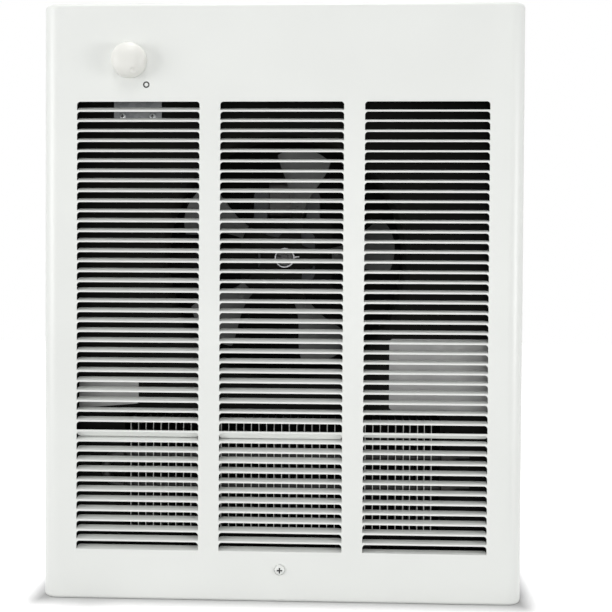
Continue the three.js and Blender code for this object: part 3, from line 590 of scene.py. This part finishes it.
def addTongue(bm, c, middle, hinge, angle):
    # the sheet turns inwards on the hinge line, then runs straight to its rounded end
    halfSlot, corner, steps = c["slotWidth"] / 2, c["cornerRadius"], c["bendSteps"]
    edges = [e for e in bm.edges if e.is_boundary and all(
        abs(v.co.z - hinge) < near and abs(v.co.y - c["frontY"]) < near
        and abs(v.co.x - middle) < halfSlot + near for v in e.verts)]
    bend = math.radians(angle)
    straight = c["slotHeight"] - bend * (c["tongueBend"] - c["sheet"] / 2)
    turns = [bend * k / steps for k in range(1, steps + 1)]
    path = [(c["tongueBend"] * (1 - math.cos(turn)), c["tongueBend"] * math.sin(turn)) for turn in turns]
    bendIn, bendUp = path[-1]
    for length in (straight - corner, straight):
        path.append((bendIn + length * math.sin(bend), bendUp + length * math.cos(bend)))
    for inwards, upwards in path:
        verts, edges = extruded(bm, edges)
        for v in verts:
            v.co.y = c["frontY"] + inwards
            v.co.z = hinge + upwards
    back = corner * (1 - math.sqrt(0.5))
    for v in verts:
        if abs(abs(v.co.x - middle) - halfSlot) < near:
            v.co.x -= math.copysign(back, v.co.x - middle)
            v.co.y -= back * math.sin(bend)
            v.co.z -= back * math.cos(bend)


def sinkSeat(bm, c):
    # the shallow dimple round the cover screw
    x, z, radius = c["screwSeat"]
    edges = roundOpening(bm, x, c["frontY"], z, radius, c["cell"] * radius)
    for depth, size in c["seatRings"]:
        verts, edges = extruded(bm, edges)
        for v in verts:
            out = Vector((v.co.x - x, 0, v.co.z - z)).normalized() * size
            v.co = (x + out.x, c["frontY"] + depth, z + out.z)


bm = bmesh.new()
coverShell(bm, cover)
cutSlots(bm, cover)
for number, hinge in enumerate(slotHinges(cover), 1):
    for column, middle in enumerate(cover["columns"]):
        if number == cover["foldedRow"]:
            angle = cover["foldedAngles"][column]
        else:
            angle = cover["tongueAngles"][column] + random.uniform(-1, 1) * cover["angleSpread"]
            angle += cover["bentMore"].get((column, number), 0)
        addTongue(bm, cover, middle, hinge, angle)
sinkSeat(bm, cover)
x, z, radius = cover["knobHole"]
roundOpening(bm, x, coverFrontY, z, radius, cover["cell"] * radius)
bmesh.ops.recalc_face_normals(bm, faces=bm.faces)
if next(f for f in bm.faces if f.calc_center_median().y < coverFrontY + near).normal.y > 0:
    bmesh.ops.reverse_faces(bm, faces=bm.faces)
bmesh.ops.solidify(bm, geom=bm.verts[:] + bm.edges[:] + bm.faces[:], thickness=cover["sheet"])
frontCover = finished("frontCover", bm, "cover_paint", replaced=("front_cover",))
print("front cover:", len(frontCover.data.polygons), "faces")


# knob, its off mark and the cover screw

knob = {                              # mm, the pointer's angle in degrees
    "x": knobX, "z": knobZ, "baseY": -127.6, "height": 14.0, "radius": 14.5, "skirt": 14.9,
    "dome": 8.5, "roundness": 0.9, "domeSteps": 36, "sides": 112, "flare": 0.25, "flareLong": 2.5,
    "skirtLong": 0.5, "rim": 0.3, "wallIn": 12.4, "hollow": 5.0, "draft": 0.2,
    "pointer": -64.0, "pointerAt": 11.2, "dimple": 2.1, "dimpleDepth": 1.3, "dimpleCurve": 0.8,
}


def spunAboutY(bm, profile, x, z, sides):
    verts = [bm.verts.new((x + radius, y, z)) for radius, y in profile]
    edges = [bm.edges.new(pair) for pair in zip(verts, verts[1:])]
    bmesh.ops.spin(bm, geom=verts + edges, cent=(x, 0, z), axis=(0, 1, 0), angle=math.radians(360),
                   steps=sides, use_merge=True)
    bmesh.ops.remove_doubles(bm, verts=bm.verts, dist=0.001)
    bmesh.ops.recalc_face_normals(bm, faces=bm.faces)


def knobProfile(k):
    base, frontY, power = k["baseY"], k["baseY"] - k["height"], k["roundness"]
    profile = [(0.0, frontY)]
    for i in range(1, k["domeSteps"] + 1):
        turn = math.radians(90 * i / k["domeSteps"])
        back = k["dome"] * (1 - math.cos(turn) ** power)
        profile.append((k["radius"] * math.sin(turn) ** power, frontY + back))
    profile += [(k["radius"] + k["flare"], base - k["flareLong"]), (k["skirt"], base - k["skirtLong"]),
                (k["skirt"] - k["rim"], base), (k["wallIn"], base)]
    return profile + [(k["wallIn"] - k["draft"], base - k["hollow"]), (0.0, base - k["hollow"])]


def pressDimple(bm, k):
    aim = math.radians(k["pointer"])
    spotX, spotZ = k["x"] + k["pointerAt"] * math.cos(aim), k["z"] + k["pointerAt"] * math.sin(aim)
    bm.normal_update()
    for v, outwards in [(v, v.normal.copy()) for v in bm.verts]:
        away = math.hypot(v.co.x - spotX, v.co.z - spotZ) / k["dimple"]
        if away < 1 and v.co.y < k["baseY"] - k["hollow"] - 1:
            v.co -= outwards * k["dimpleDepth"] * (1 - away * away) ** k["dimpleCurve"]


headCurve = ((0.58, 0.03), (0.75, 0.17), (0.88, 0.42), (0.965, 0.72), (1.0, 1.0))   # shares of head and rise
recessTaper = 1.12


def crossHead(bm, x, z, sizes):
    # a domed head with a cross recess, whose faces take the second material, a dark one that is painted shade
    # in the recess
    arm, slot = sizes["arm"], sizes["slot"]
    topY = sizes["seatY"] - sizes["rise"]
    corners = []
    for quarter in range(4):
        for across, up in ((slot, slot), (arm, slot), (arm, -slot)):
            for i in range(quarter):
                across, up = up, -across
            corners.append((across, up))
    halfway = [((a + c) / 2, (b + d) / 2) for (a, b), (c, d) in zip(corners, corners[1:] + corners[:1])]
    outline = [point for pair in zip(corners, halfway) for point in pair]
    recess = bm.faces.new([bm.verts.new((x + a, topY + sizes["depth"], z + b)) for a, b in outline])
    upper, ring = extruded(bm, recess.edges[:])
    for v in upper:
        v.co = (x + (v.co.x - x) * recessTaper, topY - 0.02, z + (v.co.z - z) * recessTaper)
    inside = {f for v in upper for f in v.link_faces} | {recess}
    for share, lower in headCurve:
        spot = Matrix.Translation((x, topY + sizes["rise"] * lower, z)) @ turned(90, "X")
        circle = bmesh.ops.create_circle(bm, segments=24, radius=sizes["head"] * share, matrix=spot)["verts"]
        outer = list({e for v in circle for e in v.link_edges})
        bmesh.ops.bridge_loops(bm, edges=ring + outer)
        ring = outer
    bmesh.ops.holes_fill(bm, edges=ring, sides=24)
    for f in inside:
        f.material_index = 1


bm = bmesh.new()
spunAboutY(bm, knobProfile(knob), knob["x"], knob["z"], knob["sides"])
pressDimple(bm, knob)
finished("knob", bm, "knob_plastic", body="knob", replaced=("thermostat_knob",), sharp=50)

mark = {"x": -115.5, "z": 185.0, "outer": 2.8, "inner": 1.6, "thick": 0.04, "sunk": 0.1, "sides": 48}
bm = bmesh.new()
inner, outer = mark["inner"], mark["outer"]
rearY, frontY = coverFrontY + mark["sunk"], coverFrontY - mark["thick"]
spunAboutY(bm, [(inner, rearY), (outer, rearY), (outer, frontY), (inner, frontY), (inner, rearY)],
           mark["x"], mark["z"], mark["sides"])
finished("offMark", bm, "dark_plastic", material=moulded("markInk", (0.03, 0.03, 0.03), 0.5))

coverScrew = {"seatY": -126.7, "head": 4.35, "rise": 2.5, "arm": 2.1, "slot": 0.55, "depth": 1.5,
              "shank": 2.0, "shankFromY": -126.5, "shankLong": 32.0}
bm = bmesh.new()
crossHead(bm, 0.0, coverScrewZ, coverScrew)
spot = Matrix.Translation((0.0, coverScrew["shankFromY"] + coverScrew["shankLong"] / 2, coverScrewZ))
bmesh.ops.create_cone(bm, cap_ends=True, segments=20, radius1=coverScrew["shank"],
                      radius2=coverScrew["shank"], depth=coverScrew["shankLong"],
                      matrix=spot @ turned(90, "X"))
bmesh.ops.recalc_face_normals(bm, faces=bm.faces)
piece = finished("coverScrew", bm, "cover_paint", replaced=("cover_screw",), sharp=40)
# the cross recess is painted near-black as shade
piece.data.materials.append(moulded("paintedRecessShade", (0.035, 0.035, 0.035), 0.4))
print("knob, mark and cover screw are in")


# plain plates on the deck

plates = {                            # mm; drop is how far the lower edge falls towards the left
    "rightPlate": {"x": (93.1, 181.6), "z": (-93.6, -31.0), "drop": 0.0, "corner": 3.2},
    "leftPlate": {"x": (-181.6, -128.5), "z": (-90.0, -70.1), "drop": 4.5, "corner": 2.0},
}
foil = {"thick": 0.11, "gap": 0.01}
foilMaterial = rolledMetal("plainFoil", (0.34, 0.34, 0.335), 0.42, grainAxis=(14.0, 1.0, 1.0), dull=0.9)
for plateName, plate in plates.items():
    (left, right), (bottom, top) = plate["x"], plate["z"]
    bm = bmesh.new()
    outline = ((left, bottom - plate["drop"]), (right, bottom), (right, top), (left, top))
    corners = [bm.verts.new((x, deckY - foil["gap"] - foil["thick"], z)) for x, z in outline]
    bm.faces.new(corners)
    bmesh.ops.bevel(bm, geom=corners, affect="VERTICES", offset=plate["corner"], segments=6, profile=0.5,
                    material=-1)
    behind = bmesh.ops.extrude_face_region(bm, geom=bm.faces[:])["geom"]
    bmesh.ops.translate(bm, verts=[g for g in behind if isinstance(g, bmesh.types.BMVert)],
                        vec=(0, foil["thick"], 0))
    bmesh.ops.recalc_face_normals(bm, faces=bm.faces)
    finished(plateName, bm, "aluminium", material=foilMaterial)
print("plates are in")


# heating element

element = {                           # mm
    "y": -97.6, "z": -146.2, "fins": 41, "pitch": 6.56, "thick": 0.55, "depth": 24.0, "height": 95.4,
    "lastFins": (-0.9, -0.9, -1.7, -2.2),        # how far the last four sit from their even places
    "tube": 4.0, "spacing": 26.4, "bendX": -142.7, "endX": 150.7,
    "pin": 1.6, "pinFromX": 149.7, "pinEndX": 162.7,
    # paintedHighlightDepth: how far the painted highlight reaches back from the fins' front edges
    "bottomZ": -195.2, "paintedHighlightDepth": 0.25,
}


def paintedShadeWithEdgeHighlight(name, dark, paintedHighlight, edgeY, depth):
    # sheet painted near-black for the shade between the fins, with a painted highlight along its front edges
    mat, shader, place = startMaterial(name, dark, 0.5, 0.1)
    nodes, links = mat.node_tree.nodes, mat.node_tree.links
    parts = nodes.new("ShaderNodeSeparateXYZ")
    links.new(place, parts.inputs[0])
    reach = nodes.new("ShaderNodeMapRange")
    reach.inputs["From Min"].default_value = (edgeY + depth) * mm
    reach.inputs["From Max"].default_value = edgeY * mm
    links.new(parts.outputs["Y"], reach.inputs["Value"])
    paintedShade = rampOf(mat, noiseOf(mat, place, 45.0, 4.0), [(0.3, tint(dark, 0.7)), (0.7, tint(dark, 1.3))])
    wearAndHighlight = rampOf(mat, noiseOf(mat, place, 160.0, 4.0), [(0.3, tint(paintedHighlight, 0.75)), (0.7, paintedHighlight)])
    feed(mat, blendOf(mat, "MIX", reach.outputs[0], paintedShade, wearAndHighlight), shader.inputs["Base Color"])
    bumpOf(mat, shader, noiseOf(mat, place, 700.0, 2.0), 0.15, 0.00006)
    return mat


# the fins' sides are painted near-black for the shade between them, and their front edges carry a painted
# highlight
finSteel = paintedShadeWithEdgeHighlight("finSteel", (0.010, 0.010, 0.009), (0.78, 0.78, 0.76),
                              element["y"] - element["depth"] / 2, element["paintedHighlightDepth"])
bm = bmesh.new()
shifts = (0.0,) * (element["fins"] - len(element["lastFins"])) + element["lastFins"]
for i, shift in enumerate(shifts):
    at = ((i - (element["fins"] - 1) / 2) * element["pitch"] + shift, element["y"],
          element["bottomZ"] + element["height"] / 2)
    bmesh.ops.create_cube(bm, size=1.0, matrix=Matrix.Translation(at)
                          @ Matrix.Diagonal((element["thick"], element["depth"], element["height"], 1)))
for side in (-1, 1):
    z = element["z"] + side * element["spacing"] / 2
    for radius, fromX, toX in ((element["tube"], element["bendX"], element["endX"]),
                               (element["pin"], element["pinFromX"], element["pinEndX"])):
        spot = Matrix.Translation(((fromX + toX) / 2, element["y"], z)) @ turned(90, "Y")
        bmesh.ops.create_cone(bm, cap_ends=True, segments=24, radius1=radius, radius2=radius,
                              depth=toX - fromX, matrix=spot)
bendAt = Vector((element["bendX"] + 0.05, element["y"], element["z"]))
section = bmesh.ops.create_circle(bm, segments=24, radius=element["tube"], matrix=Matrix.Translation(
    bendAt + Vector((0, 0, element["spacing"] / 2))) @ turned(90, "Y"))["verts"]
bmesh.ops.spin(bm, geom=section + list({e for v in section for e in v.link_edges}), cent=bendAt,
               axis=(0, -1, 0), angle=math.radians(180), steps=20)
bmesh.ops.recalc_face_normals(bm, faces=bm.faces)
finished("heatingElement", bm, "element_steel", replaced=("heating_element",), material=finSteel)
print("element is in")


# fan

fan = {                               # mm and degrees
    "y": -77.0, "z": 40.0, "first": 73.0, "blades": 5, "root": 42.0, "tip": 98.0, "thick": 1.0,
    "rootPitch": 40.0, "tipPitch": 25.0, "sweep": 7.0, "camber": 3.0, "camberReach": 24.0,
    "rootHalf": 8.0, "tipHalf": 28.0, "flat": 20.0, "tipRound": 5.0,
    "rivets": ((46.0, 0.0), (52.0, -3.0), (52.0, 3.0)),      # radius and place across
    "rivet": 1.7, "rivetSunk": 0.2, "rivetFlat": 0.55,
}


def smoothStep(t):
    t = min(1.0, max(0.0, t))
    return t * t * (3 - 2 * t)


def bladePoint(radius, chord, offset, number):
    # a point of a blade: how far from the axle, where across the blade, how far off its middle
    share = (radius - fan["root"]) / (fan["tip"] - fan["root"])
    if radius < fan["root"]:
        pitch = fan["rootPitch"] * smoothStep((radius - fan["flat"]) / (fan["root"] - fan["flat"]))
    else:
        pitch = fan["rootPitch"] + (fan["tipPitch"] - fan["rootPitch"]) * share
    pitch = math.radians(pitch)
    swell = fan["camber"] * smoothStep((radius - fan["flat"]) / fan["camberReach"])
    camber = swell * (1 - (chord / fan["tipHalf"]) ** 2) + offset
    around = chord * math.cos(pitch) + camber * math.sin(pitch)
    start = fan["first"] + 360 / fan["blades"] * number + fan["sweep"] * max(0.0, share)
    turn = around / radius + math.radians(start)
    return Vector((radius * math.cos(turn), fan["y"] + chord * math.sin(pitch) - camber * math.cos(pitch),
                   fan["z"] + radius * math.sin(turn)))


def addRivet(bm, radius, chord, number):
    face = fan["thick"] / 2
    spot, above = (bladePoint(radius, chord, lift, number) for lift in (face - fan["rivetSunk"], face + 1))
    turnTo = (above - spot).to_track_quat("Z", "Y").to_matrix().to_4x4()
    flat = Matrix.Diagonal((1, 1, fan["rivetFlat"], 1))
    bmesh.ops.create_uvsphere(bm, u_segments=14, v_segments=8, radius=fan["rivet"],
                              matrix=Matrix.Translation(spot) @ turnTo @ flat)


for number in range(fan["blades"]):
    bm = bmesh.new()
    bmesh.ops.create_grid(bm, x_segments=18, y_segments=14, size=1.0)
    for v in bm.verts:
        along, across = (v.co.x + 1) / 2, v.co.y
        radius = fan["root"] + (fan["tip"] - fan["root"]) * along - fan["tipRound"] * across ** 2 * along ** 3
        widening = smoothStep((radius - fan["root"]) / (fan["tip"] - fan["root"]))
        half = fan["rootHalf"] + (fan["tipHalf"] - fan["rootHalf"]) * widening
        v.co = bladePoint(radius, half * across, fan["thick"] / 2, number)
    bmesh.ops.recalc_face_normals(bm, faces=bm.faces)
    if sum(f.normal.y for f in bm.faces) > 0:
        bmesh.ops.reverse_faces(bm, faces=bm.faces)
    bmesh.ops.solidify(bm, geom=bm.verts[:] + bm.edges[:] + bm.faces[:], thickness=fan["thick"])
    for radius, chord in fan["rivets"]:
        addRivet(bm, radius, chord, number)
    finished("fanBlade" + str(number + 1), bm, "aluminium", body="fan",
             replaced=("fan_blade_" + str(number + 1),), sharp=50)
print("fan blades are in")


# back box

box = {                               # mm
    "width": 368.0, "height": 464.0, "depth": 102.0, "sheet": 1.0,
    "studZ": (-180.0, -60.0, 60.0, 180.0), "studY": -63.0, "studRadius": 3.2, "studLong": 5.0,
    "knockX": (-140.0, -105.0, 105.0, 140.0), "knockZ": 196.0, "knockY": -45.0, "knockRadius": 11.1,
    "disc": 10.95, "discThick": 0.5, "pressed": 0.5,
    "hookX": (-110.0, 110.0), "tabWidth": 24.0, "tabZ": -217.7,
    "hook": ((2.4, 0.05, 11.2, 1.1), (-2.6, 7.3, 1.2, 15.4)),     # middle in y and z, depth, height
}


def wall(width, height, spots=(), radius=0.0, longer=0.0):
    # flat in XZ and facing -Y, with a round hole at each spot, or a long one
    reach = 1.5 * (radius + longer)
    xs = sorted({-width / 2, width / 2} | {x + side * reach for x, z in spots for side in (-1, 1)})
    zs = sorted({-height / 2, height / 2} | {z + side * reach for x, z in spots for side in (-1, 1)})
    bm = bmesh.new()
    sweptUp(bm, [(x, 0) for x in xs], zs)
    for x, z in spots:
        for v in {v for e in roundOpening(bm, x, 0.0, z, radius, reach, 48) for v in e.verts}:
            if abs(v.co.x - x) > near:
                v.co.x += math.copysign(longer, v.co.x - x)
    bmesh.ops.recalc_face_normals(bm, faces=bm.faces)
    if bm.faces[0].normal.y > 0:
        bmesh.ops.reverse_faces(bm, faces=bm.faces)
    return bm


def placed(target, panel, matrix):
    bmesh.ops.transform(panel, matrix=matrix, verts=panel.verts)
    mesh = bpy.data.meshes.new("panel")
    panel.to_mesh(mesh)
    panel.free()
    target.from_mesh(mesh)
    bpy.data.meshes.remove(mesh)


halfWidth, halfHeight, depth = box["width"] / 2, box["height"] / 2, box["depth"]
middleY = -depth / 2
bm = bmesh.new()
rearSpots = [(x, box["knockZ"]) for x in box["knockX"]]
topSpots = [(x, box["knockY"] - middleY) for x in box["knockX"]]
placed(bm, wall(box["width"], box["height"], rearSpots, box["knockRadius"]), turned(180, "Z"))
placed(bm, wall(box["width"], depth, topSpots, box["knockRadius"]),
       Matrix.Translation((0, middleY, halfHeight)) @ turned(-90, "X"))
placed(bm, wall(box["width"], depth), Matrix.Translation((0, middleY, -halfHeight)) @ turned(90, "X"))
for side in (-1, 1):
    spots = [(side * (box["studY"] - middleY), z) for z in box["studZ"]]
    placed(bm, wall(depth, box["height"], spots, box["studRadius"], box["studLong"]),
           Matrix.Translation((side * halfWidth, middleY, 0)) @ turned(90 * side, "Z"))
backBox = finished("backBox", bm, "galvanised", replaced=("back_box",), thickness=box["sheet"])
backBox.data.materials.append(finish["black_paint"])
bm = bmesh.new()
for x in box["knockX"]:
    sunk = box["pressed"] + box["discThick"] / 2
    for spot in (Matrix.Translation((x, -sunk, box["knockZ"])) @ turned(90, "X"),
                 Matrix.Translation((x, box["knockY"], halfHeight - sunk))):
        bmesh.ops.create_cone(bm, cap_ends=True, segments=48, radius1=box["disc"], radius2=box["disc"],
                              depth=box["discThick"], matrix=spot)
finished("knockouts", bm, "galvanised", bevel=0.15)
bm = bmesh.new()
tabs = [((x, wallY + y, halfHeight + z), (box["tabWidth"], deep, high))
        for x in box["hookX"] for y, z, deep, high in box["hook"]]
tabs.append(((0, wallY + box["sheet"] / 2, (box["tabZ"] - halfHeight) / 2),
             (box["tabWidth"], box["sheet"], box["tabZ"] + halfHeight)))
for at, size in tabs:                 # two bent hooks for the cover's top, and the tab for its screw
    bmesh.ops.create_cube(bm, size=1.0, matrix=Matrix.Translation(at) @ Matrix.Diagonal((*size, 1)))
finished("boxHooks", bm, "galvanised", bevel=0.2)
print("back box is in")


# pieces that keep the shape of their node

def refined(nodeName, slotName, body="heater", bevel=None, sharp=35.0, material=None):
    source = frame["nodes"][nodeName]
    bm = bmesh.new()
    bm.from_mesh(source.data)
    bmesh.ops.remove_doubles(bm, verts=bm.verts, dist=0.000004)
    bmesh.ops.dissolve_limit(bm, angle_limit=math.radians(0.6), verts=bm.verts, edges=bm.edges)
    bmesh.ops.recalc_face_normals(bm, faces=bm.faces)
    bmesh.ops.scale(bm, vec=(1 / mm, 1 / mm, 1 / mm), verts=bm.verts)
    return finished("fine_" + nodeName, bm, slotName, body=body, replaced=(nodeName,), bevel=bevel,
                    sharp=sharp, material=material)


keptShapes = {                        # node: slot, body, bevel in mm, angle from which an edge stays sharp
    "fan_spider": ("black_paint", "fan", 0.3, 40), "fan_hub": ("zinc", "fan", 0.25, 40),
    "fan_clip": ("zinc", "fan", 0.15, 40), "motor_mount": ("black_paint", "heater", 0.4, 35),
    "motor_stator": ("lamination", "heater", 0.3, 35),
    "motor_bracket_front": ("black_paint", "heater", 0.4, 35),
    "motor_bracket_rear": ("black_paint", "heater", 0.4, 35),
    "element_bracket_left": ("black_paint", "heater", 0.3, 35),
    "element_bracket_right": ("black_paint", "heater", 0.3, 35),
    "thermostat_body": ("zinc", "heater", 0.4, 35), "thermostat_nut": ("zinc", "heater", 0.3, 35),
    "fan_switch": ("dark_plastic", "heater", 0.3, 35), "limit_switch": ("dark_plastic", "heater", 0.3, 35),
    "terminal_block": ("phenolic", "heater", 0.5, 35), "fan_deck": ("black_paint", "heater", 0.4, 30),
    "bulb_clip_left": ("zinc", "heater", 0.15, 35), "bulb_clip_right": ("zinc", "heater", 0.15, 35),
    "motor_coil": ("dark_plastic", "heater", 1.2, 35),
}
dullMetal = {"fan_hub": platedZinc("dullHub", (0.07, 0.07, 0.07), 0.5),
             "fan_clip": platedZinc("dullSpring", (0.36, 0.36, 0.37), 0.35)}
for nodeName, (slotName, body, bevel, sharp) in keptShapes.items():
    refined(nodeName, slotName, body, bevel, sharp, dullMetal.get(nodeName))
frame["nodes"]["motor_shaft"].data.materials[0] = dullMetal["fan_hub"]

strip = {"footBelow": 158.0, "raised": 2.4}      # the foot ends just above the third row of slots
piece = refined("thermostat_bracket", "galvanised", bevel=0.3,
                material=spangledZinc("dullZinc", (0.29, 0.30, 0.305)))
for v in piece.data.vertices:
    if v.co.z < strip["footBelow"] * mm:
        v.co.z += strip["raised"] * mm

button = {"short": 0.15}              # pressed in, it stops just short of the floor of its pocket
piece = refined("reset_button", "red_plastic", body="reset")
rearY = max(v.co.y for v in piece.data.vertices)
for v in piece.data.vertices:
    if v.co.y > rearY - 0.05 * mm:
        v.co.y -= button["short"] * mm

bracketScrews = {"z": 163.5, "apart": 26.5, "seatY": deckY - 1.8, "head": 2.8, "rise": 1.9,
                 "arm": 1.5, "slot": 0.48, "depth": 0.9}
# the screw heads are painted near-white and bluish as a highlight
paintedHighlight = platedZinc("screwZinc", (0.93, 0.97, 0.99), 0.2, metallic=0.15)
for side, name in ((-1, "left"), (1, "right")):
    bm = bmesh.new()
    crossHead(bm, knob["x"] + side * bracketScrews["apart"] / 2, bracketScrews["z"], bracketScrews)
    bmesh.ops.recalc_face_normals(bm, faces=bm.faces)
    piece = finished("thermostatScrew" + name, bm, "zinc", replaced=("thermostat_screw_" + name,),
                     sharp=40, material=paintedHighlight)
    # the cross recesses take a near-black plastic as painted shade
    piece.data.materials.append(finish["dark_plastic"])
print("refined pieces are in")
